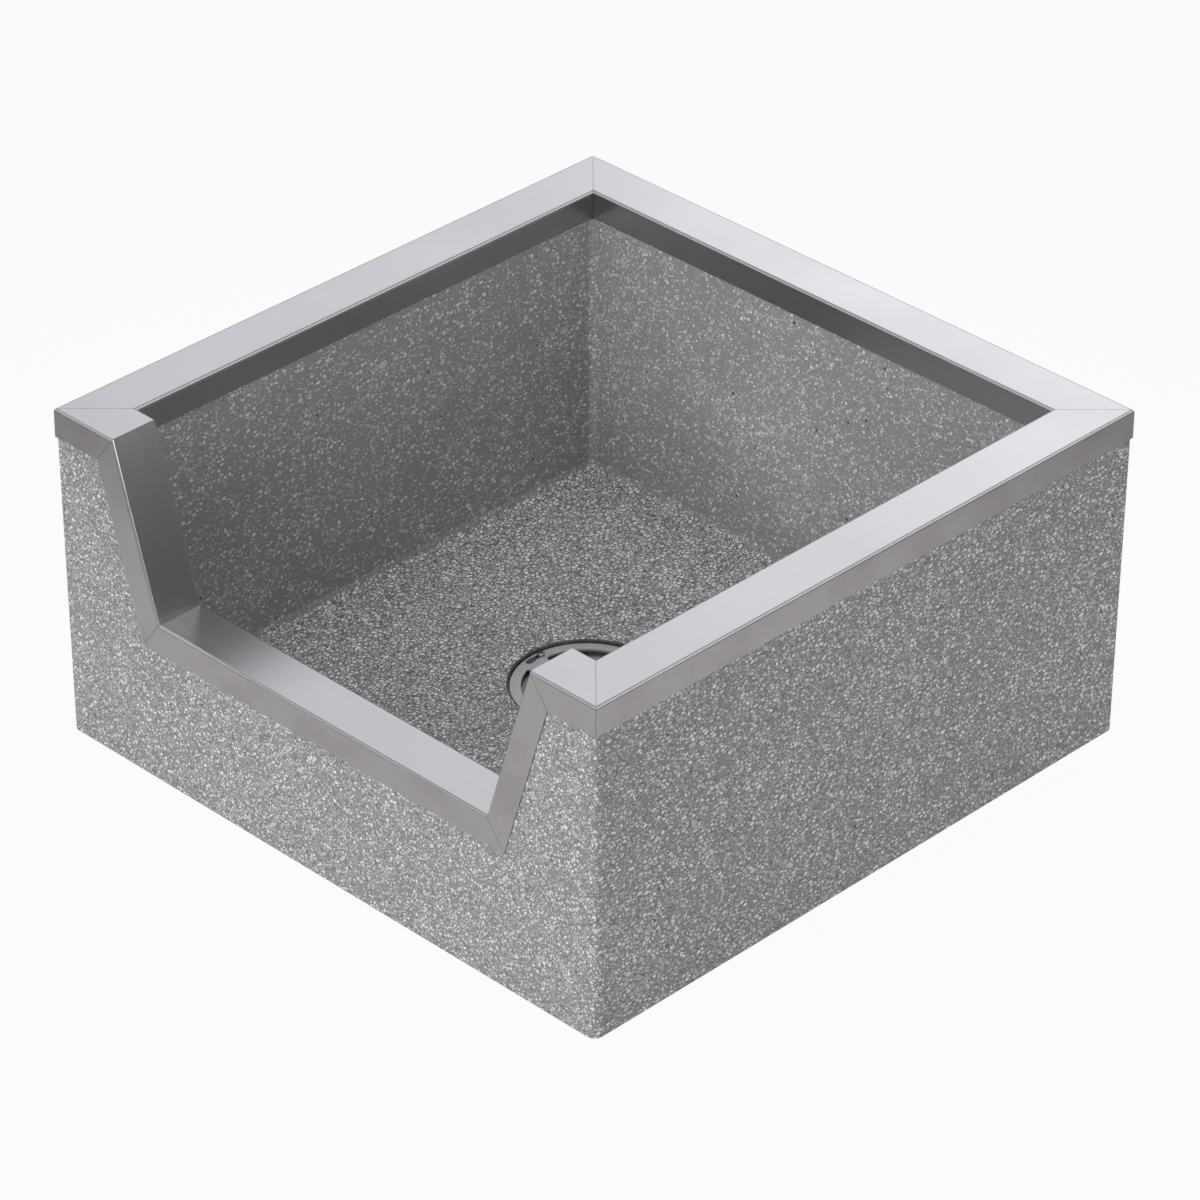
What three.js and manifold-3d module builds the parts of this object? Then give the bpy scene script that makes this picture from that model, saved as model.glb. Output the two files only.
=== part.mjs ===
// Mop service sink: a precast terrazzo basin with a dropped front, bent stainless caps on
// every curb, and a floor drain with a strainer over a lint basket. Millimetres, +Z up,
// origin at the centre of the underside, the dropped front towards -Y.
import * as THREE from "three";
import { mergeVertices } from "three/addons/utils/BufferGeometryUtils.js";
import Module from "manifold-3d";

const wasm = await Module();
wasm.setup();

// ---- Driving dimensions ----

// The basin
const WIDTH = 610;
const DEPTH = 610;
const HEIGHT = 305;
const THRESHOLD_HEIGHT = 152;
const FRONT_FLAT = 70; // full-height stretch of the front curb at each end
const DROP_RUN = 47; // how far each sloped end of the drop leans out
const FLOOR_FALL = 6; // rise of the floor from the drain to the walls
const FLOOR_DISH = 14; // level margin of the floor round the drain
const FLOOR_COVE = 8;
const WALL_DRAFT = 23; // how much thicker the walls are at the floor
const POCKET_CORNER_R = 6;
const FOOT_CORNER_R = 8; // upright outer edges, at the floor
const HEAD_CORNER_R = 3; // and under the caps

// The caps
const CAP_WIDTH = 47;
const CAP_SHEET = 1.2;
const CAP_SKIRT = 26;
const CAP_BEND = 1.2; // inside radius of the bends
const CAP_PROUD = 0.8; // skirt face to terrazzo face
const SEAM = 0.3; // open width of a mitre
const FIT_GAP = 0.3; // between a piece and what it is set in or rests on
const CUT_CLEAR = 12; // how far a cutting tool stands past what it cuts

// The anchor straps under the caps
const STRAP_WIDTH = 20;
const STRAP_THICK = 1.5;
const STRAP_SPAN = 24;
const STRAP_LEG = 44;
const STRAP_FOOT = 11;
const STRAPS_PER_LONG_RUN = 3;
const STRAP_END = 100; // corner to the nearest strap, on a long run

// The drain body, from the waste pipe outwards and upwards
const DRAIN_X = -3.5; // the drain's middle from the basin's
const DRAIN_Y = -4;
const PIPE_R = 44.45; // 3 in waste pipe, outside
const PIPE_STOP = 3.45; // how far the throat stands in over the pipe's end
const HUB_DEPTH = 24;
const HUB_WALL = 6.2;
const HUB_LIP = 1.6; // lip that holds the gasket up
const HUB_LIP_HEIGHT = 1.2;
const THROAT_LENGTH = 3;
const FLARE_HEIGHT = 8.3;
const FLANGE_WIDTH = 21; // anchor flange cast into the floor
const FLANGE_Z = 13;
const FLANGE_THICK = 5;
const FLANGE_FILLET = 3;
const BOWL_EDGE = 10; // height of the bowl's upright outside below the strainer seat
const DRAIN_RIM_WALL = 1.3;
const DRAIN_RIM_SET = 0.3; // rim below the floor

// The pipe gasket
const GASKET_WALL = 6.05;
const GASKET_BITE = 0.35; // how far the lips close on the pipe
const GASKET_ROOT = 2.2; // clear depth between the lips
const GASKET_LIPS = 3;
const GASKET_LIP_EDGE = 1.5; // width of a lip where it meets the pipe

// The lint basket
const BASKET_SHEET = 1;
const BASKET_DEPTH = 22;
const BASKET_TAPER = 0.53; // mm of radius for each mm of height
const BASKET_THROAT_GAP = 1.5;
const BASKET_ROLL = 3; // height and reach of the turn from the cup to the flange
const BASKET_ROLL_OUT = 5;
const BASKET_KNEE = 1; // the turn's middle, below the flange and out from the cup
const BASKET_KNEE_OUT = 1.5;
const BASKET_FLANGE = 8;
const BASKET_SET = 3.3; // flange top below the strainer
const BASKET_HOLE_R = 2;
const BASKET_HOLE_PITCH = 9;
const BASKET_FOOT_ROWS = 3;
const BASKET_WALL_ROWS = 2;
const BASKET_WALL_HOLES = 12;
const BASKET_WALL_PITCH = 5.5;

// The strainer
const STRAINER_PLATE = 1.6;
const STRAINER_SET = 2.2; // plate below the drain rim
const STRAINER_SLIP = 1.2; // plate edge to the drain rim
const RING_WIDTH = 9.1;
const ARC_WIDTH = 17.1; // the open arcs inside the ring
const ARC_CORNER_R = 4;
const TAB_COUNT = 4;
const TAB_TURN = 6; // degrees from the X axis to the first tab's middle
const TAB_ANGLE = 23; // degrees of ring that each tab takes
const DOME_BORDER = 3.5;
const DOME_RISE = 9;
const DOME_HOLE_R = 2.6;
const DOME_HOLE_ROWS = 3;
const DOME_HOLE_PITCH = 9;
const KEYHOLE_WIDE = 6.4;
const KEYHOLE_NARROW = 4.6;
const KEYHOLE_TAIL = 6; // degrees from a tab's middle to the end of the wide stretch
const KEYHOLE_NECK = -3; // to the step between wide and narrow
const KEYHOLE_SCREW = -11; // and to the screw

// The screws
const SCREW_SHANK_R = 2;
const SCREW_LENGTH = 9;
const SCREW_HEAD_R = 3.4;
const SCREW_HEAD = 2.2;
const SCREW_HEAD_SIDE = 1.1; // upright side of the head
const SCREW_CROWN_R = 2.55; // where the head's rounded edge meets its crown
const SCREW_CROWN = 0.2;
const SCREW_RECESS = 3.8;
const SCREW_RECESS_WIDTH = 0.9;
const SCREW_RECESS_DEPTH = 1.1;
const SCREW_WALL = 1.1; // metal between a screw hole and the basket's well

// How finely curves are cut
const RING_STEPS = 48;
const BASKET_STEPS = 36;
const DOME_STEPS = 32;
const DOME_RINGS = 4;
const SCREW_STEPS = 12;
const HOLE_STEPS = 8;
const CORNER_STEPS = 6;
const BEND_STEPS = 4;
const FACET_DEPTH = 0.12; // how far a facet of an outline may cut its curve

// ---- Solids ----

// A closed geometry as a solid that can be joined and cut.
function solid(geometry) {
  const bare = geometry.clone();
  bare.deleteAttribute("normal");
  bare.deleteAttribute("uv");
  const merged = mergeVertices(bare, 1e-4);
  return new wasm.Manifold(
    new wasm.Mesh({
      numProp: 3,
      vertProperties: merged.attributes.position.array,
      triVerts: new Uint32Array(merged.index.array),
    }),
  );
}

// A solid as a flat-shaded geometry.
function geometryOf(body) {
  const mesh = body.getMesh();
  const indexed = new THREE.BufferGeometry();
  indexed.setAttribute("position", new THREE.BufferAttribute(mesh.vertProperties, 3));
  indexed.setIndex(new THREE.BufferAttribute(mesh.triVerts, 1));
  const flat = indexed.toNonIndexed();
  flat.computeVertexNormals();
  return flat;
}

// Turns a profile of [radius, z] points about the Z axis. It runs outwards, up and back in,
// and either starts and ends on the axis or closes on itself.
function revolve(profile, steps = RING_STEPS) {
  const points = profile.map(([r, z]) => new THREE.Vector2(r, z));
  if (points[0].x > 0) points.push(points[0].clone());
  return new THREE.LatheGeometry(points, steps).rotateX(Math.PI / 2);
}

// A flat outline pushed up from z.
function plate(shape, z, thickness) {
  return new THREE.ExtrudeGeometry(shape, { depth: thickness, bevelEnabled: false }).translate(0, 0, z);
}

// An upright pin, for shanks and for drilling.
function pin(radius, [x, y], z, height, steps = HOLE_STEPS) {
  return new THREE.CylinderGeometry(radius, radius, height, steps)
    .rotateX(Math.PI / 2)
    .translate(x, y, z + height / 2);
}

function onCircle(radius, degrees) {
  const angle = THREE.MathUtils.degToRad(degrees);
  return [radius * Math.cos(angle), radius * Math.sin(angle)];
}

// The angle, in degrees, that a width takes up at a radius.
function angleOf(width, radius) {
  return THREE.MathUtils.radToDeg(Math.asin(width / radius));
}

// Points along an arc, clockwise where it ends at the lower angle.
function arc([x, y], radius, from, to) {
  const step = 2 * THREE.MathUtils.radToDeg(Math.acos(1 - FACET_DEPTH / radius));
  const steps = Math.ceil(Math.abs(to - from) / step);
  return Array.from({ length: steps + 1 }, (_, i) => {
    const [dx, dy] = onCircle(radius, from + ((to - from) * i) / steps);
    return new THREE.Vector2(x + dx, y + dy);
  });
}

// Stretches of points as one outline, without the points where two stretches meet twice.
function outline(stretches) {
  const all = stretches.flat();
  return all.filter((point, i) => point.distanceTo(all[(i + all.length - 1) % all.length]) > 1e-4);
}

// The centre of a perforated disc, then rows of holes round it, six more in each row.
function holeRows(rows, pitch) {
  const places = [[0, 0]];
  for (let row = 1; row <= rows; row++) {
    const count = 6 * row;
    for (let i = 0; i < count; i++) places.push(onCircle(row * pitch, (360 / count) * i));
  }
  return places;
}

// ---- The curbs ----

// The curbs' outer top edges, counter-clockwise from above.
const X = WIDTH / 2;
const Y = DEPTH / 2;
const dropTopX = X - FRONT_FLAT;
const dropFootX = dropTopX - DROP_RUN;
const curbs = [
  { name: "front_left", from: [-X, -Y, HEIGHT], inward: [0, 1, 0] },
  { name: "slope_left", from: [-dropTopX, -Y, HEIGHT], inward: [0, 1, 0] },
  { name: "threshold", from: [-dropFootX, -Y, THRESHOLD_HEIGHT], inward: [0, 1, 0], long: true },
  { name: "slope_right", from: [dropFootX, -Y, THRESHOLD_HEIGHT], inward: [0, 1, 0] },
  { name: "front_right", from: [dropTopX, -Y, HEIGHT], inward: [0, 1, 0] },
  { name: "right", from: [X, -Y, HEIGHT], inward: [-1, 0, 0], long: true },
  { name: "back", from: [X, Y, HEIGHT], inward: [0, -1, 0], long: true },
  { name: "left", from: [-X, Y, HEIGHT], inward: [1, 0, 0], long: true },
];

// Each run of curb, with the frame that its sections are drawn in: across it from the outer
// edge, up from its top, and along it.
const runs = curbs.map(({ name, from, inward, long = false }, i) => {
  const start = new THREE.Vector3(...from);
  const end = new THREE.Vector3(...curbs[(i + 1) % curbs.length].from);
  const along = end.clone().sub(start).normalize();
  const across = new THREE.Vector3(...inward);
  const up = along.clone().cross(across);
  return { name, long, start, end, along, across, up, length: end.distanceTo(start) };
});

// Sweeps a section along a run and mitres both its ends, each kept half a seam back from
// the plane that halves the corner.
function sweepRun(index, section, seam) {
  const run = runs[index];
  const before = runs[(index + runs.length - 1) % runs.length];
  const after = runs[(index + 1) % runs.length];
  const spare = CAP_WIDTH + CAP_SKIRT;
  const settings = { depth: run.length + 2 * spare, bevelEnabled: false, curveSegments: BEND_STEPS };
  const frame = new THREE.Matrix4()
    .makeBasis(run.across, run.up, run.along)
    .setPosition(run.start.clone().addScaledVector(run.along, -spare));
  const bar = solid(new THREE.ExtrudeGeometry(section, settings).applyMatrix4(frame));
  const opening = before.along.clone().add(run.along).normalize();
  const closing = run.along.clone().add(after.along).normalize();
  return bar
    .trimByPlane(opening.toArray(), opening.dot(run.start) + seam / 2)
    .trimByPlane(closing.clone().negate().toArray(), -closing.dot(run.end) + seam / 2);
}

// The cap's section: a bent channel, its top at up = 0 and its outer face at across = 0.
function capSection() {
  const near = CAP_BEND + CAP_SHEET;
  const far = CAP_WIDTH - near;
  const section = new THREE.Shape();
  section.moveTo(0, -CAP_SKIRT);
  section.lineTo(CAP_SHEET, -CAP_SKIRT);
  section.absarc(near, -near, CAP_BEND, Math.PI, Math.PI / 2, true);
  section.absarc(far, -near, CAP_BEND, Math.PI / 2, 0, true);
  section.lineTo(CAP_WIDTH - CAP_SHEET, -CAP_SKIRT);
  section.lineTo(CAP_WIDTH, -CAP_SKIRT);
  section.absarc(far, -near, near, 0, Math.PI / 2, false);
  section.absarc(near, -near, near, Math.PI / 2, Math.PI, false);
  section.closePath();
  return section;
}

// What the casting gives up for a cap: everything outside the core that the cap wraps. It
// reaches inwards just past the pocket's corners and stays short of the shortest run's end.
const coreEdge = CAP_SHEET + FIT_GAP;
function rebateSection() {
  const foot = -CAP_SKIRT - FIT_GAP;
  const reach = CAP_WIDTH + POCKET_CORNER_R / 4;
  const bend = CAP_BEND - FIT_GAP;
  const near = CAP_BEND + CAP_SHEET;
  const far = CAP_WIDTH - near;
  const section = new THREE.Shape();
  section.moveTo(-CUT_CLEAR, CUT_CLEAR);
  section.lineTo(-CUT_CLEAR, foot);
  section.lineTo(coreEdge, foot);
  section.absarc(near, -near, bend, Math.PI, Math.PI / 2, true);
  section.absarc(far, -near, bend, Math.PI / 2, 0, true);
  section.lineTo(CAP_WIDTH - coreEdge, foot);
  section.lineTo(reach, foot);
  section.lineTo(reach, CUT_CLEAR);
  section.closePath();
  return section;
}

// The rebate all the way round: one ring of the section at each corner, on its mitre plane.
function capRebates() {
  const section = outline([rebateSection().getPoints(BEND_STEPS)]);
  const rings = runs.map((run, i) => {
    const before = runs[(i + runs.length - 1) % runs.length];
    const mitre = before.along.clone().add(run.along);
    return section.map(({ x, y }) => {
      const offset = run.across.clone().multiplyScalar(x).addScaledVector(run.up, y);
      const slide = -offset.dot(mitre) / run.along.dot(mitre);
      return offset.add(run.start).addScaledVector(run.along, slide);
    });
  });
  return solid(loft(rings, true));
}

// ---- The anchor straps ----

// A strap bent like a hat: a web under the cap, two legs down into the casting, and a foot
// turned out at the end of each. A margin grows it on every side, for its pocket.
function strapSection(margin) {
  const inside = STRAP_SPAN / 2 - STRAP_THICK;
  const outside = STRAP_SPAN / 2;
  const toe = outside + STRAP_FOOT;
  const right = [
    [inside - margin, -STRAP_THICK - margin],
    [inside - margin, -STRAP_LEG - margin],
    [toe + margin, -STRAP_LEG - margin],
    [toe + margin, -STRAP_LEG + STRAP_THICK + margin],
    [outside + margin, -STRAP_LEG + STRAP_THICK + margin],
    [outside + margin, margin],
  ];
  const left = right.map(([s, v]) => [-s, v]).reverse();
  return new THREE.Shape([...right, ...left].map(([s, v]) => new THREE.Vector2(s, v)));
}

// A strap at a distance along a run, its web just under the cap, across the curb's middle.
function strap({ run, distance }, margin) {
  const width = STRAP_WIDTH + 2 * margin;
  const frame = new THREE.Matrix4().makeBasis(run.along.clone().negate(), run.up, run.across).setPosition(
    run.start
      .clone()
      .addScaledVector(run.along, distance)
      .addScaledVector(run.across, (CAP_WIDTH - width) / 2)
      .addScaledVector(run.up, -coreEdge),
  );
  const section = strapSection(margin);
  return new THREE.ExtrudeGeometry(section, { depth: width, bevelEnabled: false }).applyMatrix4(frame);
}

// Several straps on a long run, and one in the middle of a short one.
const strapPlaces = runs.flatMap((run) => {
  if (!run.long) return [{ name: `cap_anchor_${run.name}`, run, distance: run.length / 2 }];
  const pitch = (run.length - 2 * STRAP_END) / (STRAPS_PER_LONG_RUN - 1);
  return Array.from({ length: STRAPS_PER_LONG_RUN }, (_, i) => ({
    name: `cap_anchor_${run.name}_${i + 1}`,
    run,
    distance: STRAP_END + i * pitch,
  }));
});

// ---- Sizes that follow through the drain ----

// Heights, upwards from the underside
const throatTop = HUB_DEPTH + THROAT_LENGTH;
const basketSeat = throatTop + FLARE_HEIGHT;
const basketUnder = basketSeat + FIT_GAP;
const basketTop = basketUnder + BASKET_SHEET;
const basketFoot = basketTop - BASKET_DEPTH;
const plateUnder = basketTop + BASKET_SET;
const plateTop = plateUnder + STRAINER_PLATE;
const strainerSeat = plateUnder - FIT_GAP;
const rimTop = plateTop + STRAINER_SET;
const floorRim = rimTop + DRAIN_RIM_SET;
const floorEdge = floorRim + FLOOR_FALL;

// Radii, outwards from the pipe
const throatR = PIPE_R - PIPE_STOP;
const gasketR = PIPE_R + GASKET_WALL;
const hubBoreR = gasketR + FIT_GAP;
const cupR = (z) => throatR - BASKET_THROAT_GAP + BASKET_TAPER * (z - throatTop);
const basketMouthR = cupR(basketUnder - BASKET_ROLL) + BASKET_ROLL_OUT;
const basketFlangeR = basketMouthR + BASKET_FLANGE;
const wellR = basketFlangeR + FIT_GAP;
const screwHoleR = SCREW_SHANK_R + FIT_GAP;
const screwCircleR = wellR + SCREW_WALL + screwHoleR;
const ringInnerR = screwCircleR - RING_WIDTH / 2;
const strainerR = screwCircleR + RING_WIDTH / 2;
const discR = ringInnerR - ARC_WIDTH;
const domeR = discR - DOME_BORDER;
const rimInnerR = strainerR + STRAINER_SLIP;
const bowlR = rimInnerR + DRAIN_RIM_WALL;

// Where the tabs and their screws stand
const tabs = Array.from({ length: TAB_COUNT }, (_, i) => (360 / TAB_COUNT) * i + TAB_TURN);
const screwPlaces = tabs.map((tab) => onCircle(screwCircleR, tab + KEYHOLE_SCREW));

// The drain's pieces are drawn about the Z axis, and then moved to its place.
function atDrain(geometry) {
  return geometry.translate(DRAIN_X, DRAIN_Y, 0);
}

// ---- The drain body ----

// The casting's outside, from its foot to its rim, grown by a margin for its seat.
function drainOutside(margin) {
  const hub = hubBoreR + HUB_WALL;
  const flange = hub + FLANGE_WIDTH + margin;
  return [
    [hub + margin, 0],
    [hub + margin, FLANGE_Z - FLANGE_FILLET - margin],
    [hub + margin + FLANGE_FILLET, FLANGE_Z - margin],
    [flange, FLANGE_Z - margin],
    [flange, FLANGE_Z + FLANGE_THICK + margin],
    [hub + margin + FLANGE_FILLET, FLANGE_Z + FLANGE_THICK + margin],
    [hub + margin + FLANGE_FILLET, HUB_DEPTH - margin],
    [bowlR + margin, strainerSeat - BOWL_EDGE - margin],
    [bowlR + margin, rimTop],
  ];
}

function drainBody() {
  const lip = hubBoreR - HUB_LIP;
  let body = solid(
    revolve([
      [lip, 0],
      ...drainOutside(0),
      [rimInnerR, rimTop],
      [rimInnerR, strainerSeat],
      [wellR, strainerSeat],
      [wellR, basketSeat],
      [basketMouthR - FIT_GAP, basketSeat],
      [throatR, throatTop],
      [throatR, HUB_DEPTH],
      [hubBoreR, HUB_DEPTH],
      [hubBoreR, HUB_LIP_HEIGHT],
      [lip, HUB_LIP_HEIGHT],
    ]),
  );
  const depth = SCREW_LENGTH + FIT_GAP;
  for (const place of screwPlaces) {
    body = body.subtract(solid(pin(screwHoleR, place, strainerSeat - depth, 2 * depth, SCREW_STEPS)));
  }
  return geometryOf(body);
}

// ---- The pipe gasket ----

// A moulded ring: a smooth outside, and lips inside that close on the pipe.
function pipeGasket() {
  const low = HUB_LIP_HEIGHT + FIT_GAP;
  const high = HUB_DEPTH - FIT_GAP;
  const lip = PIPE_R - GASKET_BITE;
  const root = PIPE_R + GASKET_ROOT;
  const pitch = (high - low) / GASKET_LIPS;
  const inside = Array.from({ length: GASKET_LIPS }, (_, i) => {
    const top = high - pitch * i;
    const middle = top - pitch / 2;
    return [[root, top], [lip, middle + GASKET_LIP_EDGE / 2], [lip, middle - GASKET_LIP_EDGE / 2]];
  });
  return revolve([[root, low], [gasketR, low], [gasketR, high], ...inside.flat()]);
}

// ---- The strainer ----

// A stretch of ring between two radii and two angles, its four corners rounded.
function ringOpening(innerR, outerR, from, to, corner) {
  const outerLean = angleOf(corner, outerR - corner);
  const innerLean = angleOf(corner, innerR + corner);
  const outerCorner = (angle) => onCircle(outerR - corner, angle);
  const innerCorner = (angle) => onCircle(innerR + corner, angle);
  return new THREE.Path(
    outline([
      arc([0, 0], outerR, from + outerLean, to - outerLean),
      arc(outerCorner(to - outerLean), corner, to - outerLean, to + 90),
      arc(innerCorner(to - innerLean), corner, to + 90, to - innerLean + 180),
      arc([0, 0], innerR, to - innerLean, from + innerLean),
      arc(innerCorner(from + innerLean), corner, from + innerLean + 180, from + 270),
      arc(outerCorner(from + outerLean), corner, from + 270, from + outerLean + 360),
    ]),
  );
}

// A keyhole along the screw circle: a wide stretch that clears a screw's head, and a narrow
// one where the head holds the plate down.
function keyhole(tab) {
  const wide = KEYHOLE_WIDE / 2;
  const narrow = KEYHOLE_NARROW / 2;
  const tail = tab + KEYHOLE_TAIL - angleOf(wide, screwCircleR);
  const neck = tab + KEYHOLE_NECK;
  const end = tab + KEYHOLE_SCREW;
  return new THREE.Path(
    outline([
      arc([0, 0], screwCircleR + narrow, end, neck),
      arc([0, 0], screwCircleR + wide, neck, tail),
      arc(onCircle(screwCircleR, tail), wide, tail, tail + 180),
      arc([0, 0], screwCircleR - wide, tail, neck),
      arc([0, 0], screwCircleR - narrow, neck, end),
      arc(onCircle(screwCircleR, end), narrow, end + 180, end + 360),
    ]),
  );
}

// The flat plate: an outer ring, tabs in to a disc, and open arcs between the tabs.
function strainerPlate() {
  const shape = new THREE.Shape(outline([arc([0, 0], strainerR, 0, 360)]));
  for (const tab of tabs) {
    const from = tab + TAB_ANGLE / 2;
    const to = tab + 360 / TAB_COUNT - TAB_ANGLE / 2;
    shape.holes.push(ringOpening(discR, ringInnerR, from, to, ARC_CORNER_R));
    shape.holes.push(keyhole(tab));
  }
  return solid(plate(shape, plateUnder, STRAINER_PLATE));
}

// A cap of a sphere over a disc at z, closed below by a short skirt.
function domeSolid(radius, z, skirt) {
  const sphereR = (radius * radius + DOME_RISE * DOME_RISE) / (2 * DOME_RISE);
  const spread = Math.asin(radius / sphereR);
  const skin = Array.from({ length: DOME_RINGS + 1 }, (_, i) => {
    const angle = spread * (1 - i / DOME_RINGS);
    return [sphereR * Math.sin(angle), z + DOME_RISE - sphereR * (1 - Math.cos(angle))];
  });
  return solid(revolve([[0, z - skirt], [radius, z - skirt], ...skin], DOME_STEPS));
}

function strainer() {
  let body = strainerPlate()
    .add(domeSolid(domeR, plateTop, STRAINER_PLATE))
    .subtract(domeSolid(domeR - STRAINER_PLATE, plateUnder, STRAINER_PLATE));
  for (const place of holeRows(DOME_HOLE_ROWS, DOME_HOLE_PITCH)) {
    body = body.subtract(solid(pin(DOME_HOLE_R, place, plateUnder - CUT_CLEAR, 3 * CUT_CLEAR)));
  }
  return geometryOf(body);
}

// ---- The screws ----

// A pan head with a crossed recess, on a plain shank.
function strainerScrew([x, y]) {
  const foot = strainerSeat - SCREW_LENGTH;
  const head = plateTop + FIT_GAP;
  const top = head + SCREW_HEAD;
  const profile = [
    [0, foot],
    [SCREW_SHANK_R, foot],
    [SCREW_SHANK_R, head],
    [SCREW_HEAD_R, head],
    [SCREW_HEAD_R, head + SCREW_HEAD_SIDE],
    [SCREW_CROWN_R, top - SCREW_CROWN],
    [0, top],
  ];
  const bar = new THREE.BoxGeometry(SCREW_RECESS, SCREW_RECESS_WIDTH, 2 * SCREW_RECESS_DEPTH);
  bar.translate(0, 0, top);
  const body = solid(revolve(profile, SCREW_STEPS))
    .subtract(solid(bar))
    .subtract(solid(bar.clone().rotateZ(Math.PI / 2)));
  return geometryOf(body).translate(x, y, 0);
}

// ---- The lint basket ----

// A pressed cup hung by its flange, its foot and wall pierced.
function lintBasket() {
  const rollFoot = basketUnder - BASKET_ROLL;
  const kneeR = cupR(rollFoot) + BASKET_KNEE_OUT;
  const profile = [
    [0, basketFoot],
    [cupR(basketFoot), basketFoot],
    [cupR(rollFoot), rollFoot],
    [kneeR, basketUnder - BASKET_KNEE],
    [basketMouthR, basketUnder],
    [basketFlangeR, basketUnder],
    [basketFlangeR, basketTop],
    [basketMouthR, basketTop],
    [kneeR - BASKET_SHEET, basketTop - BASKET_KNEE],
    [cupR(rollFoot) - BASKET_SHEET, rollFoot],
    [cupR(basketFoot) - BASKET_SHEET, basketFoot + BASKET_SHEET],
    [0, basketFoot + BASKET_SHEET],
  ];
  let body = solid(revolve(profile, BASKET_STEPS));
  for (const place of holeRows(BASKET_FOOT_ROWS, BASKET_HOLE_PITCH)) {
    body = body.subtract(solid(pin(BASKET_HOLE_R, place, basketFoot - CUT_CLEAR, 2 * CUT_CLEAR)));
  }
  for (let row = 0; row < BASKET_WALL_ROWS; row++) {
    const z = basketFoot + BASKET_WALL_PITCH * (row + 1);
    const bar = new THREE.CylinderGeometry(BASKET_HOLE_R, BASKET_HOLE_R, CUT_CLEAR, HOLE_STEPS)
      .rotateZ(Math.PI / 2)
      .translate(cupR(z), 0, z);
    for (let i = 0; i < BASKET_WALL_HOLES; i++) {
      const turn = (2 * Math.PI * (i + row / 2)) / BASKET_WALL_HOLES;
      body = body.subtract(solid(bar.clone().rotateZ(turn)));
    }
  }
  return geometryOf(body);
}

// ---- The terrazzo casting ----

// One point ring of a loft: a rectangle with rounded corners, counter-clockwise from above.
function rectangleRing({ left, right, front, back, radius, z }) {
  const corners = [
    [right - radius, back - radius],
    [left + radius, back - radius],
    [left + radius, front + radius],
    [right - radius, front + radius],
  ];
  return corners.flatMap(([x, y], quarter) =>
    Array.from({ length: CORNER_STEPS + 1 }, (_, i) => {
      const [dx, dy] = onCircle(radius, 90 * (quarter + i / CORNER_STEPS));
      return new THREE.Vector3(x + dx, y + dy, z);
    }),
  );
}

// A round ring about the drain with as many points as a rectangle's.
function circleRing(radius, z) {
  const count = 4 * (CORNER_STEPS + 1);
  return Array.from({ length: count }, (_, i) => {
    const [x, y] = onCircle(radius, (360 / count) * (i + 0.5));
    return new THREE.Vector3(DRAIN_X + x, DRAIN_Y + y, z);
  });
}

// Skins point rings of equal length, from the lowest up, and closes both ends. A looped one
// goes on from the last ring to the first instead.
function loft(rings, looped = false) {
  const count = rings[0].length;
  const levels = looped ? rings.length : rings.length - 1;
  const triangles = [];
  for (let level = 0; level < levels; level++) {
    const low = rings[level];
    const high = rings[(level + 1) % rings.length];
    for (let i = 0; i < count; i++) {
      const next = (i + 1) % count;
      triangles.push(low[i], low[next], high[next], low[i], high[next], high[i]);
    }
  }
  const foot = rings[0];
  const top = rings[rings.length - 1];
  for (let i = 1; i + 1 < count && !looped; i++) {
    triangles.push(foot[0], foot[i + 1], foot[i]);
    triangles.push(top[0], top[i], top[i + 1]);
  }
  return new THREE.BufferGeometry().setFromPoints(triangles);
}

// The block before anything is cut from it.
function blankBlock() {
  const outerX = X - CAP_PROUD;
  const outerY = Y - CAP_PROUD;
  const ring = (radius, z) =>
    rectangleRing({ left: -outerX, right: outerX, front: -outerY, back: outerY, radius, z });
  const skirtFoot = HEIGHT - CAP_SKIRT;
  return solid(loft([ring(FOOT_CORNER_R, 0), ring(HEAD_CORNER_R, skirtFoot), ring(HEAD_CORNER_R, HEIGHT)]));
}

// The basin's hollow: a floor that falls to the drain, a cove, and walls that thicken
// downwards from the foot of their own caps.
function basinHollow() {
  const sideFoot = HEIGHT - CAP_SKIRT;
  const frontFoot = THRESHOLD_HEIGHT - CAP_SKIRT;
  const wall = (z, foot) =>
    CAP_WIDTH - CAP_PROUD + WALL_DRAFT * Math.max(0, (foot - z) / (foot - floorEdge));
  const ring = (z, inset = 0) =>
    rectangleRing({
      left: -X + wall(z, sideFoot) + inset,
      right: X - wall(z, sideFoot) - inset,
      front: -Y + wall(z, frontFoot) + inset,
      back: Y - wall(z, sideFoot) - inset,
      radius: POCKET_CORNER_R,
      z,
    });
  const coveStep = FLOOR_COVE * (1 - Math.SQRT1_2);
  return solid(
    loft([
      circleRing(bowlR + FLOOR_DISH, floorRim),
      ring(floorEdge, FLOOR_COVE),
      ring(floorEdge + coveStep, coveStep),
      ring(floorEdge + FLOOR_COVE),
      ring(frontFoot),
      ring(sideFoot),
      ring(HEIGHT + CUT_CLEAR),
    ]),
  );
}

// The dropped stretch of the front curb.
function frontDrop() {
  const above = HEIGHT + CUT_CLEAR;
  const points = [
    [-dropTopX, above],
    [-dropTopX, HEIGHT],
    [-dropFootX, THRESHOLD_HEIGHT],
    [dropFootX, THRESHOLD_HEIGHT],
    [dropTopX, HEIGHT],
    [dropTopX, above],
  ];
  const shape = new THREE.Shape(points.map(([x, z]) => new THREE.Vector2(x, z)));
  const settings = { depth: CAP_WIDTH + 2 * CUT_CLEAR, bevelEnabled: false };
  const block = new THREE.ExtrudeGeometry(shape, settings).rotateX(Math.PI / 2);
  return solid(block.translate(0, -Y + CAP_WIDTH + CUT_CLEAR, 0));
}

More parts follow.
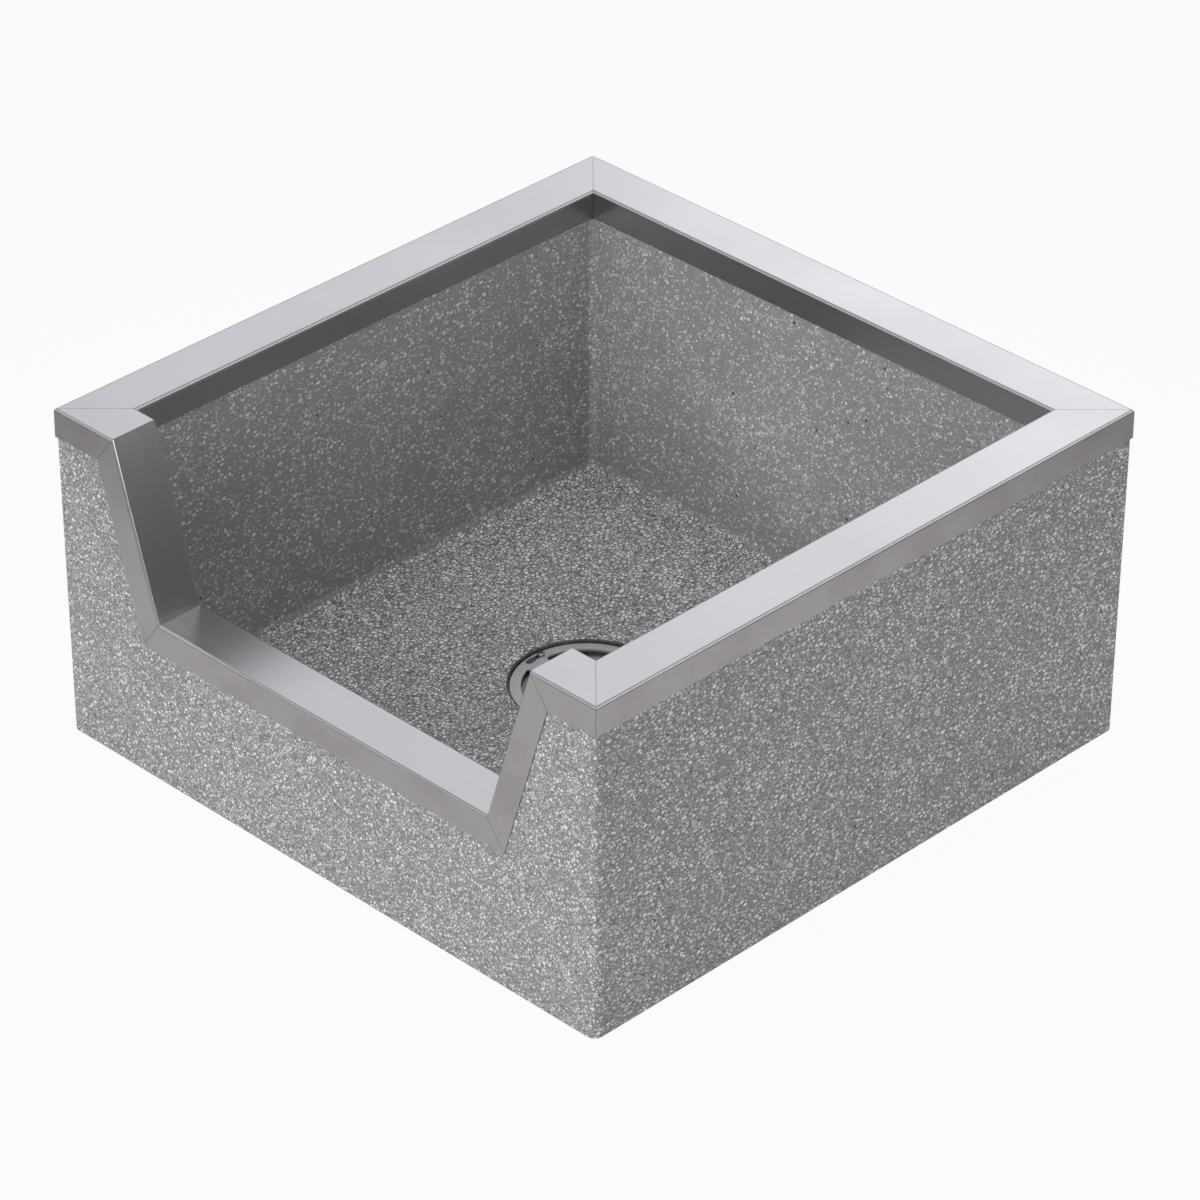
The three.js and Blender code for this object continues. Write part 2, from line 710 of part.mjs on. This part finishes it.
// The seat that the drain body is cast into, open through the floor and the underside.
function drainSeat() {
  const seat = drainOutside(FIT_GAP);
  const below = [seat[0][0], -CUT_CLEAR];
  const above = [seat[seat.length - 1][0], floorEdge + CUT_CLEAR];
  return solid(atDrain(revolve([[0, -CUT_CLEAR], below, ...seat, above, [0, floorEdge + CUT_CLEAR]])));
}

function terrazzoBody() {
  let body = blankBlock().subtract(basinHollow()).subtract(frontDrop()).subtract(drainSeat());
  body = body.subtract(capRebates());
  for (const place of strapPlaces) body = body.subtract(solid(strap(place, FIT_GAP)));
  return geometryOf(body);
}

// ---- The assembly ----

function finish(color, roughness, metalness) {
  return new THREE.MeshStandardMaterial({ color, roughness, metalness });
}

const terrazzo = finish(0x8f9190, 0.55, 0);
const stainless = finish(0xb9b9be, 0.32, 1);
const strapSteel = finish(0x8a8c8e, 0.5, 1);
const bronze = finish(0x5e5a52, 0.5, 1);
const rubber = finish(0x1b1b1c, 0.85, 0);

const mopSink = new THREE.Group();

function addPiece(name, geometry, material) {
  const mesh = new THREE.Mesh(geometry, material);
  mesh.name = name;
  mopSink.add(mesh);
}

addPiece("terrazzo_body", terrazzoBody(), terrazzo);
runs.forEach(({ name }, i) => {
  addPiece(`cap_${name}`, geometryOf(sweepRun(i, capSection(), SEAM)), stainless);
});
for (const place of strapPlaces) addPiece(place.name, strap(place, 0), strapSteel);
addPiece("drain_body", atDrain(drainBody()), bronze);
addPiece("pipe_gasket", atDrain(pipeGasket()), rubber);
addPiece("lint_basket", atDrain(lintBasket()), stainless);
addPiece("strainer", atDrain(strainer()), stainless);
screwPlaces.forEach((place, i) => {
  addPiece(`strainer_screw_${i + 1}`, atDrain(strainerScrew(place)), stainless);
});

export default mopSink;
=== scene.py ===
import math

import bmesh
import bpy
from mathutils import Matrix, Vector


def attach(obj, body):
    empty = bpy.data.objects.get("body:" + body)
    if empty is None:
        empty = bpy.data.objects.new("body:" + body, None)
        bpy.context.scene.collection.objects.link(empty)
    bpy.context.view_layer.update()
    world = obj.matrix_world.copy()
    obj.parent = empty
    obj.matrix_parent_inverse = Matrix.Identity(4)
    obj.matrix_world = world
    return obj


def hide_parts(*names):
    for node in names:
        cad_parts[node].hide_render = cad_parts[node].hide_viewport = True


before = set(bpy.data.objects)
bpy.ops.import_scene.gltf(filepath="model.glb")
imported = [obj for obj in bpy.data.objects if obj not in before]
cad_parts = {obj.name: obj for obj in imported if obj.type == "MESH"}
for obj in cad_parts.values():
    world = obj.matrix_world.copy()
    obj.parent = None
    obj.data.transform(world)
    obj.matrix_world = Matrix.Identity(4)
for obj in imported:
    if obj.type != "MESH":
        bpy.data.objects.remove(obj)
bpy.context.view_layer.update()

# ---- Terrazzo basin ----
# One precast block of grey cement and crushed white marble, ground flat and sealed. The chips
# lie all through the casting, so every face cuts them. The underside is left as cast.


class Signal:
    """An output in a material's nodes. Arithmetic on signals and numbers adds Math nodes."""

    def __init__(self, tree, socket):
        self.tree = tree
        self.socket = socket

    def node(self, kind, sockets, output=0, **settings):
        """Adds a node: its settings first, then values or signals for its inputs."""
        made = self.tree.nodes.new(kind)
        for name, value in settings.items():
            setattr(made, name, value)
        for name, value in sockets.items():
            if isinstance(value, Signal):
                self.tree.links.new(value.socket, made.inputs[name])
            else:
                made.inputs[name].default_value = value
        return Signal(self.tree, made.outputs[output])

    def math(self, operation, *values):
        sockets = dict(enumerate(values))
        return self.node("ShaderNodeMath", sockets, operation=operation)

    def vector(self, operation, *values):
        sockets = dict(enumerate(values))
        output = "Value" if operation in ("DOT_PRODUCT", "LENGTH") else "Vector"
        return self.node("ShaderNodeVectorMath", sockets, output, operation=operation)

    def __add__(self, other):
        return self.math("ADD", self, other)

    __radd__ = __add__

    def __mul__(self, other):
        return self.math("MULTIPLY", self, other)

    __rmul__ = __mul__

    def __sub__(self, other):
        return self.math("SUBTRACT", self, other)

    def __rsub__(self, other):
        return self.math("SUBTRACT", other, self)

    def step(self, low, high):
        """0 below low, 1 above high, and smooth between them."""
        sockets = {"Value": self, "From Min": low, "From Max": high}
        return self.node("ShaderNodeMapRange", sockets, interpolation_type="SMOOTHSTEP", clamp=True)

    def spread(self, low, high):
        """Takes 0 to 1 out to low to high."""
        return self.node("ShaderNodeMapRange", {"Value": self, "To Min": low, "To Max": high})

    def noise(self, scale, detail=2.0, roughness=0.5):
        """Soft noise of this many cycles in a metre; self is the place that it is read at."""
        sockets = {"Vector": self, "Scale": scale, "Detail": detail, "Roughness": roughness}
        return self.node("ShaderNodeTexNoise", sockets, "Fac")

    def mix(self, low, high):
        """A colour between two colours or signals, by self."""
        sockets = {"Factor": self, 6: (*low, 1) if isinstance(low, tuple) else low}
        sockets[7] = (*high, 1) if isinstance(high, tuple) else high
        return self.node("ShaderNodeMix", sockets, 2, data_type="RGBA")

    def into(self, shader, name):
        """Feeds an input of a shader or a background."""
        self.tree.links.new(self.socket, shader.inputs[name])


def new_finish(name, **constants):
    """A material, its shader with the constants set on it, and the place on the object."""
    finish = bpy.data.materials.new(name)
    finish.use_nodes = True
    tree = finish.node_tree
    shader = tree.nodes["Principled BSDF"]
    for socket, value in constants.items():
        shader.inputs[socket.replace("_", " ")].default_value = value
    place = Signal(tree, tree.nodes.new("ShaderNodeTexCoord").outputs["Object"])
    return finish, shader, place


def bump(shader, height, distance, strength=1.0):
    """Raises a surface by this height, in units of the distance."""
    sockets = {"Height": height, "Distance": distance, "Strength": strength}
    height.node("ShaderNodeBump", sockets).into(shader, "Normal")


SAME_POINT = 0.00001
FLAT = math.radians(0.3)


def whole(node_name):
    """A copy of a frame part's mesh, its loose triangles merged and its flat faces joined."""
    mesh = bmesh.new()
    mesh.from_mesh(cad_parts[node_name].data)
    bmesh.ops.remove_doubles(mesh, verts=mesh.verts, dist=SAME_POINT)
    bmesh.ops.dissolve_limit(mesh, angle_limit=FLAT, verts=mesh.verts, edges=mesh.edges)
    return mesh


def shade(mesh, crease, widest):
    """Smooths faces under widest metres across, as on a bend, but no edge of crease degrees."""
    mesh.normal_update()
    for edge in mesh.edges:
        edge.smooth = edge.is_manifold and edge.calc_face_angle() < math.radians(crease)
    for face in mesh.faces:
        longest = max(edge.calc_length() for edge in face.edges)
        face.smooth = face.calc_area() < widest * longest


def set_in(name, mesh, finish, body, slot, *stands_for):
    """Makes a finished mesh one of the sink's pieces."""
    data = bpy.data.meshes.new(name)
    mesh.to_mesh(data)
    mesh.free()
    data.materials.append(finish)
    piece = bpy.data.objects.new(name, data)
    bpy.context.scene.collection.objects.link(piece)
    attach(piece, body)
    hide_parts(*stands_for)


CEMENT = (0.35, 0.352, 0.36)
CEMENT_INSIDE = (0.35, 0.35, 0.34)
# the floor's paler, bluer cement is painted light from above
CEMENT_FLOOR_PAINTED_LIGHT = (0.415, 0.423, 0.47)
CEMENT_DARK = (0.17, 0.172, 0.178)
FILM = (0.12, 0.122, 0.127)  # the dark edge of cement round each chip
MARBLE = (0.95, 0.955, 0.96)
MARBLE_GREY = (0.43, 0.433, 0.435)
GRIT = (0.05, 0.05, 0.055)
CAST_FACE = (0.33, 0.325, 0.315)
CAST_HOLLOW = (0.2, 0.2, 0.195)
GRADINGS = (
    # size, share of cells with a chip, thinnest and thickest cement round one, the cells' turn
    # and stretch, and how pale the palest is
    (0.0020, 0.55, 0.06, 0.2, (0.4, 1.1, 0.3), 1.3, 0.7),
    (0.0030, 0.68, 0.07, 0.2, (1.2, 0.2, 0.9), 1.45, 1.0),
    (0.0060, 0.03, 0.05, 0.2, (0.9, 1.7, 0.2), 1.2, 0.5),
)
GRIT_SIZE = 0.0034
GRIT_SHARE = 0.004
WALL_FACE = (0.28, 0.29)  # between the inner walls and the outside, out from the middle
FLOOR_EDGE = (0.051, 0.056)  # heights between the floor and the inner walls
CAST_EDGE = (0.0002, 0.0006)  # heights between the underside and the outside


def chips(place, size, turn, stretch):
    """Cells for one grading: how deep a place lies in its cell, and three draws for each cell."""
    scale = (1 / size, 1 / size / stretch, 1 / size)
    laid = place.node("ShaderNodeMapping", {"Vector": place, "Rotation": turn, "Scale": scale})
    cell = {"Vector": laid, "Scale": 1.0, "Randomness": 1.0}
    depth = laid.node("ShaderNodeTexVoronoi", cell, "Distance", feature="DISTANCE_TO_EDGE")
    own = laid.node("ShaderNodeTexVoronoi", cell, "Color", feature="F1")
    draws = [
        own.node("ShaderNodeSeparateColor", {"Color": own}, part)
        for part in ("Red", "Green", "Blue")
    ]
    return depth, draws


def terrazzo():
    """Ground and sealed terrazzo, with the underside as it left the mould."""
    finish, shader, place = new_finish("terrazzo", IOR=1.5)
    x, y, z = (place.node("ShaderNodeSeparateXYZ", {0: place}, axis) for axis in "XYZ")
    # how far each face is ground: the floor most, then the outside, and the inner walls least,
    # though on the floor it is partly painted light from above, with more and paler chips
    reach = x.math("MAXIMUM", x.math("ABSOLUTE", x), y.math("ABSOLUTE", y))
    outside = reach.step(*WALL_FACE)
    bottom = (1 - outside) * (1 - z.step(*FLOOR_EDGE))
    grinding_and_floor_light = outside * 0.6 + bottom
    cloud = place.noise(14.0, 2.0)
    patch = place.noise(55.0, 1.0)
    uneven = (patch - 0.5) * 0.3 + (cloud - 0.5) * 0.5
    paste = place.noise(900.0, 3.0, 0.7)
    cement = bottom.mix(outside.mix(CEMENT_INSIDE, CEMENT), CEMENT_FLOOR_PAINTED_LIGHT)
    colour = cloud.step(0.35, 0.65).spread(0.12, 0.0).mix(cement, CEMENT_DARK)
    colour = (paste.step(0.4, 0.66) * (grinding_and_floor_light * 0.5 + 0.25)).mix(colour, CEMENT_DARK)
    stone = None
    for size, share, thin, thick, turn, stretch, palest in GRADINGS:
        depth, (chance, bed, tone) = chips(place, size, turn, stretch)
        shown = (grinding_and_floor_light * 0.8 + 0.6) * share
        held = (shown + uneven - chance).step(-0.02, 0.02)
        inward = depth - bed.spread(thin, thick)
        film = inward.step(-0.14, -0.06) * held * (grinding_and_floor_light * 0.6 + 0.3)
        colour = film.mix(colour, FILM)
        chip = inward.step(-0.02, 0.04) * held
        # bottom * 0.2 makes the floor's chips paler still, as painted light from above
        pale = tone * (grinding_and_floor_light * 0.3 + 0.7) * palest + bottom * 0.2
        colour = chip.mix(colour, pale.mix(MARBLE_GREY, MARBLE))
        stone = chip if stone is None else stone.math("MAXIMUM", stone, chip)
    depth, (chance, _, _) = chips(place, GRIT_SIZE, (0.9, 0.1, 0.5), 1.2)
    speck = (GRIT_SHARE - chance).step(-0.001, 0.001) * (depth - 0.2).step(0.0, 0.05)
    colour = speck.mix(colour, GRIT)
    # the cast underside, rough and without a ground face
    cast = 1 - z.step(*CAST_EDGE)
    pores = place.noise(260.0, 4.0, 0.65)
    colour = cast.mix(colour, pores.step(0.35, 0.62).mix(CAST_HOLLOW, CAST_FACE))
    colour.into(shader, "Base Color")
    (stone.spread(0.6, 0.42) * (1 - cast) + cast * 0.85).into(shader, "Roughness")
    relief = paste * (1 - stone) * 0.12 * (1 - cast) + pores * cast
    bump(shader, relief, 0.0005, 0.5)
    return finish


casting = whole("terrazzo_body")
shade(casting, crease=50.0, widest=0.0035)
set_in("terrazzo_casting", casting, terrazzo(), "basin", "terrazzo", "terrazzo_body")

# ---- Stainless caps ----
# Satin sheet bent to a channel over each curb, brushed along its run, with the mitres dressed
# flush so that only a hair line shows on the top. Straps cast into the curb hold them.

STEEL = (0.64, 0.635, 0.635)
# painted shade on the side curbs' inner skirts
INNER_SKIRT_SHADE = (0.39, 0.385, 0.375)
HANDLED = (0.5, 0.48, 0.475)
FINE_SCRATCHES = 1300.0  # in a metre, across the grain
LONG_SCRATCHES = 9.0  # and along it
DULL_STREAK = 0.91  # the darkest scratches beside the brightest
OUTER_SKIRT = (0.3035, 0.3045)  # out from the middle, past the bend
INNER_SKIRT = (0.2588, 0.2596)  # the same at the side curbs' inner bend
INNER_BEND = (0.3005, 0.303)  # heights between a skirt and the top


def brushed(name, grain, colour=STEEL, rough=0.24, groove=0.00002, inner_shade=0.0):
    """Satin steel with its scratches along the grain."""
    finish, shader, place = new_finish(name, Metallic=1.0)
    run = place.vector("DOT_PRODUCT", place, grain) * (FINE_SCRATCHES - LONG_SCRATCHES)
    drawn = run.node("ShaderNodeVectorMath", {0: grain, "Scale": run}, operation="SCALE")
    fine = {0: place, "Scale": FINE_SCRATCHES}
    across = place.node("ShaderNodeVectorMath", fine, operation="SCALE")
    streak = across.vector("SUBTRACT", across, drawn).noise(1.0, 3.0, 0.6)
    cloud = place.noise(9.0, 2.0)
    (streak * 0.1 + cloud * 0.08 + (rough - 0.09)).into(shader, "Roughness")
    dull = tuple(DULL_STREAK * c for c in colour)
    bright = streak.step(0.2, 0.8).mix(dull, colour)
    # the skirts are softly mottled outside by hands, and darkened inside by painted shade
    x, y, z = (place.node("ShaderNodeSeparateXYZ", {0: place}, axis) for axis in "XYZ")
    sideways = x.math("ABSOLUTE", x)
    outer = sideways.math("MAXIMUM", sideways, y.math("ABSOLUTE", y)).step(*OUTER_SKIRT)
    mottle = place.noise(24.0, 3.0, 0.6).step(0.42, 0.72)
    worn = (mottle * outer * 0.5).mix(bright, HANDLED)
    inner = (1 - sideways.step(*INNER_SKIRT)) * (1 - z.step(*INNER_BEND))
    (inner * inner_shade).mix(worn, INNER_SKIRT_SHADE).into(shader, "Base Color")
    bump(shader, streak, groove, 0.3)
    return finish


DROP = 153.0  # mm from the side curbs down to the threshold
DROP_LEAN = 47.0  # mm that each sloped end leans outwards over that height
SLOPE = Vector((DROP_LEAN, 0.0, DROP)).normalized()
grains = {
    "x": (1.0, 0.0, 0.0),
    "y": (0.0, 1.0, 0.0),
    "slope_left": (SLOPE.x, 0.0, -SLOPE.z),
    "slope_right": (SLOPE.x, 0.0, SLOPE.z),
}
# only the side curbs' caps get the painted shade on their inner skirts
cap_steel = {
    key: brushed("cap_steel_" + key, grain, inner_shade=float(key == "y"))
    for key, grain in grains.items()
}
caps = {
    "front_left": "x",
    "slope_left": "slope_left",
    "threshold": "x",
    "slope_right": "slope_right",
    "front_right": "x",
    "right": "y",
    "back": "x",
    "left": "y",
}
for run, grain in caps.items():
    sheet = whole("cap_" + run)
    shade(sheet, crease=35.0, widest=0.001)
    set_in("cap_sheet_" + run, sheet, cap_steel[grain], "basin", "cap_steel", "cap_" + run)


# ---- Anchor straps ----
# Stainless strip with its mill finish, bent like a hat. Each strap lies under a cap and has its
# feet cast into the curb, so that the cap can't lift.

STRAP_STEEL = (0.42, 0.42, 0.43)
STRAP_GRAIN = (0.0, 0.0, 1.0)


def paint(node_name, finish):
    """Gives a part of the frame its finish."""
    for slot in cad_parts[node_name].material_slots:
        slot.material = finish


strap_steel = brushed("strap_steel", STRAP_GRAIN, STRAP_STEEL, rough=0.45)
for node_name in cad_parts:
    if node_name.startswith("cap_anchor"):
        paint(node_name, strap_steel)

# ---- Drain body ----
# A bronze casting with a bowl, an anchor flange in the terrazzo and a hub for the waste pipe.
# Its rim is machined, but the finish here gives the whole casting its sandy skin from the mould.

BRONZE = (0.27, 0.25, 0.225)
BRONZE_DARK = (0.15, 0.14, 0.13)


def cast_bronze():
    """Bronze with a sandy skin from the mould."""
    finish, shader, place = new_finish("cast_bronze", Metallic=1.0)
    sand = place.noise(900.0, 3.0, 0.6)
    cloud = place.noise(60.0, 3.0)
    cloud.step(0.3, 0.7).mix(BRONZE_DARK, BRONZE).into(shader, "Base Color")
    (0.4 + sand * 0.2).into(shader, "Roughness")
    bump(shader, sand, 0.0002, 0.4)
    return finish


drain = whole("drain_body")
shade(drain, crease=35.0, widest=1.0)
set_in("drain_casting", drain, cast_bronze(), "basin", "drain_casting", "drain_body")

# ---- Pipe gasket ----
# A moulded black rubber ring pressed into the hub of the drain body. Its lips close on a 3 in
# waste pipe that comes up through the floor.

RUBBER = (0.022, 0.022, 0.023)
RUBBER_BLOOM = (0.045, 0.045, 0.046)


def moulded_rubber():
    """Black rubber with a grey bloom."""
    finish, shader, place = new_finish("moulded_rubber")
    bloom = place.noise(90.0, 4.0, 0.6)
    bloom.step(0.4, 0.75).mix(RUBBER, RUBBER_BLOOM).into(shader, "Base Color")
    (0.6 + bloom * 0.3).into(shader, "Roughness")
    bump(shader, place.noise(1500.0, 2.0), 0.00008, 0.4)
    return finish


gasket = whole("pipe_gasket")
shade(gasket, crease=35.0, widest=1.0)
set_in("gasket_ring", gasket, moulded_rubber(), "basin", "gasket_rubber", "pipe_gasket")

# ---- Lint basket ----
# A pressed and pierced stainless cup that hangs by its flange in the drain's well. It catches
# lint and string, and lifts out to be emptied.

DRAIN_PLACE = (-0.0035, -0.004, 0.0)
BASKET_STEEL = (0.5, 0.5, 0.505)
DULL_RING = 0.85  # the darkest scratches beside the brightest


def turned(name, colour, rough, pitch):
    """Satin steel with scratches in rings round the drain's axis, this many in a metre."""
    finish, shader, place = new_finish(name, Metallic=1.0)
    from_axis = place.vector("SUBTRACT", place, DRAIN_PLACE)
    flat = from_axis.vector("MULTIPLY", from_axis, (1.0, 1.0, 0.0))
    radius = flat.vector("LENGTH", flat)
    height = place.node("ShaderNodeSeparateXYZ", {0: place}, "Z")
    rings = place.node("ShaderNodeCombineXYZ", {"X": radius * pitch, "Z": height * pitch})
    streak = rings.noise(1.0, 3.0, 0.6)
    cloud = place.noise(40.0, 2.0)
    (streak * 0.12 + cloud * 0.1 + (rough - 0.11)).into(shader, "Roughness")
    dull = tuple(DULL_RING * c for c in colour)
    streak.step(0.25, 0.75).mix(dull, colour).into(shader, "Base Color")
    bump(shader, streak, 0.00003, 0.3)
    return finish


basket = whole("lint_basket")
shade(basket, crease=50.0, widest=1.0)
basket_steel = turned("basket_steel", BASKET_STEEL, rough=0.34, pitch=1100.0)
set_in("lint_cup", basket, basket_steel, "lint_basket", "basket_steel", "lint_basket")

# ---- Strainer ----
# A pressed stainless plate with a pierced dome, which lies on a ledge of the drain body. Its
# keyholes let it turn onto its screws.

# its steel is paler than the caps', a painted sheen that stands for light on the ring
STRAINER_STEEL_AND_SHEEN = (0.88, 0.875, 0.9)
strainer = whole("strainer")
shade(strainer, crease=50.0, widest=0.004)
strainer_steel = turned("strainer_steel", STRAINER_STEEL_AND_SHEEN, rough=0.5, pitch=1300.0)
set_in("strainer_plate", strainer, strainer_steel, "strainer", "strainer_steel", "strainer")

# ---- Strainer screws ----
# Four stainless machine screws with crossed recesses, in holes in the drain body's ledge. Their
# heads hold the strainer down at the narrow ends of its keyholes.

SCREW_STEEL = (0.42, 0.42, 0.43)
SCREW_GRAIN = (0.7, 0.7, 0.0)
screw_steel = brushed("screw_steel", SCREW_GRAIN, SCREW_STEEL, rough=0.42)
for number in range(1, 5):
    name = f"strainer_screw_{number}"
    screw = whole(name)
    shade(screw, crease=50.0, widest=0.0015)
    set_in(f"machine_screw_{number}", screw, screw_steel, "strainer", "screw_steel", name)

# ---- The setting ----
# A pale floor under soft studio lamps, and a long lens above the near corner. The steel mirrors
# a room that is palest a third of the way up, more so to the right, and dark overhead.

FRAME_PIXELS = 1200
SENSOR = 36.0
AIM = Vector((0.0, 0.0, 0.15))
AZIMUTH = math.radians(44.75)
ELEVATION = math.radians(32.25)
ROLL = math.radians(0.19)
DISTANCE = 4.5673
FOCAL_PIXELS = 5622.6
CENTRE_PIXEL = (593.8, 573.4)

back = Vector(
    (
        math.sin(AZIMUTH) * math.cos(ELEVATION),
        -math.cos(AZIMUTH) * math.cos(ELEVATION),
        math.sin(ELEVATION),
    )
)
right = Vector((0, 0, 1)).cross(back).normalized()
up = back.cross(right)
lens = bpy.data.cameras.new("camera")
lens.sensor_width = SENSOR
lens.lens = FOCAL_PIXELS / FRAME_PIXELS * SENSOR
lens.shift_x = 0.5 - CENTRE_PIXEL[0] / FRAME_PIXELS
lens.shift_y = CENTRE_PIXEL[1] / FRAME_PIXELS - 0.5
lens.clip_end = 100
camera = bpy.data.objects.new("camera", lens)
bpy.context.scene.collection.objects.link(camera)
turned_right = right * math.cos(ROLL) + up * math.sin(ROLL)
turned_up = up * math.cos(ROLL) - right * math.sin(ROLL)
axes = Matrix((turned_right, turned_up, back)).transposed().to_4x4()
camera.matrix_world = Matrix.Translation(AIM + back * DISTANCE) @ axes
bpy.context.scene.camera = camera


def softbox(name, place, size, level, colour):
    """An area lamp aimed at the basin; at level 1 it alone lights a facing white card to white."""
    data = bpy.data.lights.new(name, "AREA")
    data.shape = "RECTANGLE"
    data.size, data.size_y = size
    data.color = colour
    offset = Vector(place) - AIM
    data.energy = level * math.pi**2 * offset.length_squared
    lamp = bpy.data.objects.new(name, data)
    bpy.context.scene.collection.objects.link(lamp)
    aimed = offset.to_track_quat("Z", "Y").to_matrix().to_4x4()
    lamp.matrix_world = Matrix.Translation(place) @ aimed
    return lamp


key_lamp = softbox("key_lamp", (0.05, -3.4, 0.75), (2.6, 1.4), 0.53, (0.985, 0.99, 1.0))
rear_lamp = softbox("rear_lamp", (-2.2, 2.4, 0.45), (2.0, 0.9), 0.3, (1.0, 1.0, 1.0))
# these two light the terrazzo and aren't mirrored in the steel
key_lamp.visible_glossy = rear_lamp.visible_glossy = False
softbox("side_lamp", (3.1, 0.1, 0.6), (1.4, 1.0), 0.18, (1.0, 0.985, 0.96))
softbox("back_lamp", (-0.75, 2.4, 1.3), (2.4, 1.0), 0.028, (0.97, 0.96, 1.0))
softbox("top_lamp", (0.0, 0.0, 3.2), (2.8, 2.8), 0.335, (1.0, 1.0, 1.0))

FILL = (0.275, 0.275, 0.268)
LOW_SKY = (0.5, 0.5, 0.53)
LEFT_SKY = (0.98, 0.985, 1.07)
RIGHT_SKY = (1.65, 1.66, 1.8)
MIDDLE_SKY = (0.66, 0.665, 0.72)
HIGH_SKY = (0.15, 0.15, 0.16)
PALE_FROM = (0.35, 0.5)  # sines of elevation
PALE_TO = (0.5, 0.62)
DARK_FROM = (0.68, 0.84)
IMAGE_RIGHT = (0.704, 0.71, 0.0)
WHITE = (1.0, 1.0, 1.0)
world = bpy.data.worlds.new("world")
bpy.context.scene.world = world
world.use_nodes = True
tree = world.node_tree
rays = tree.nodes.new("ShaderNodeLightPath")
on_camera, on_gloss, on_glass = (
    Signal(tree, rays.outputs[kind])
    for kind in ("Is Camera Ray", "Is Glossy Ray", "Is Transmission Ray")
)
direction = Signal(tree, tree.nodes.new("ShaderNodeTexCoord").outputs["Generated"])
height = direction.node("ShaderNodeSeparateXYZ", {0: direction}, "Z")
across = direction.vector("DOT_PRODUCT", direction, IMAGE_RIGHT).step(-0.2, 0.2)
sky = height.step(*PALE_FROM).mix(LOW_SKY, across.mix(LEFT_SKY, RIGHT_SKY))
sky = height.step(*PALE_TO).mix(sky, MIDDLE_SKY)
sky = height.step(*DARK_FROM).mix(sky, HIGH_SKY)
lit = on_gloss.math("MAXIMUM", on_gloss, on_glass).mix(FILL, sky)
on_camera.mix(lit, WHITE).into(tree.nodes["Background"], "Color")

# The floor shows white to the camera but keeps some of the basin's shadow.
FLOOR_SIZE = 40.0
FLOOR_LIT = (0.77, 0.737, 0.747)
FLOOR_FAR = (0.4, 0.39, 0.385)
POOL_MIDDLE = (0.1, -0.1, 0.0)
POOL_EDGE = (0.6, 1.1)  # metres from its middle to where it fades and ends
SEEN_WHITE = 0.94
floor_mesh = bmesh.new()
bmesh.ops.create_grid(floor_mesh, x_segments=1, y_segments=1, size=FLOOR_SIZE / 2)
floor_data = bpy.data.meshes.new("floor")
floor_mesh.to_mesh(floor_data)
floor_mesh.free()
floor = bpy.data.objects.new("floor", floor_data)
bpy.context.scene.collection.objects.link(floor)
floor_finish, floor_shader, floor_place = new_finish(
    "floor", Roughness=0.9, Specular_IOR_Level=0.1
)
# the floor's colour is a painted pool of light, pale round the basin and darker far off
pool = floor_place.vector("SUBTRACT", floor_place, POOL_MIDDLE)
faded = pool.vector("LENGTH", pool).step(*POOL_EDGE)
faded.mix(FLOOR_LIT, FLOOR_FAR).into(floor_shader, "Base Color")
floor_tree = floor_finish.node_tree
floor_rays = floor_tree.nodes.new("ShaderNodeLightPath")
seen, seen_through = (
    Signal(floor_tree, floor_rays.outputs[kind])
    for kind in ("Is Camera Ray", "Is Transmission Ray")
)
white = floor_tree.nodes.new("ShaderNodeEmission")
blend = floor_tree.nodes.new("ShaderNodeMixShader")
(seen * SEEN_WHITE + seen_through * SEEN_WHITE).into(blend, "Fac")
floor_tree.links.new(floor_shader.outputs[0], blend.inputs[1])
floor_tree.links.new(white.outputs[0], blend.inputs[2])
surface = floor_tree.nodes["Material Output"].inputs["Surface"]
floor_tree.links.new(blend.outputs[0], surface)
floor_data.materials.append(floor_finish)

bpy.context.scene.view_settings.view_transform = "Standard"
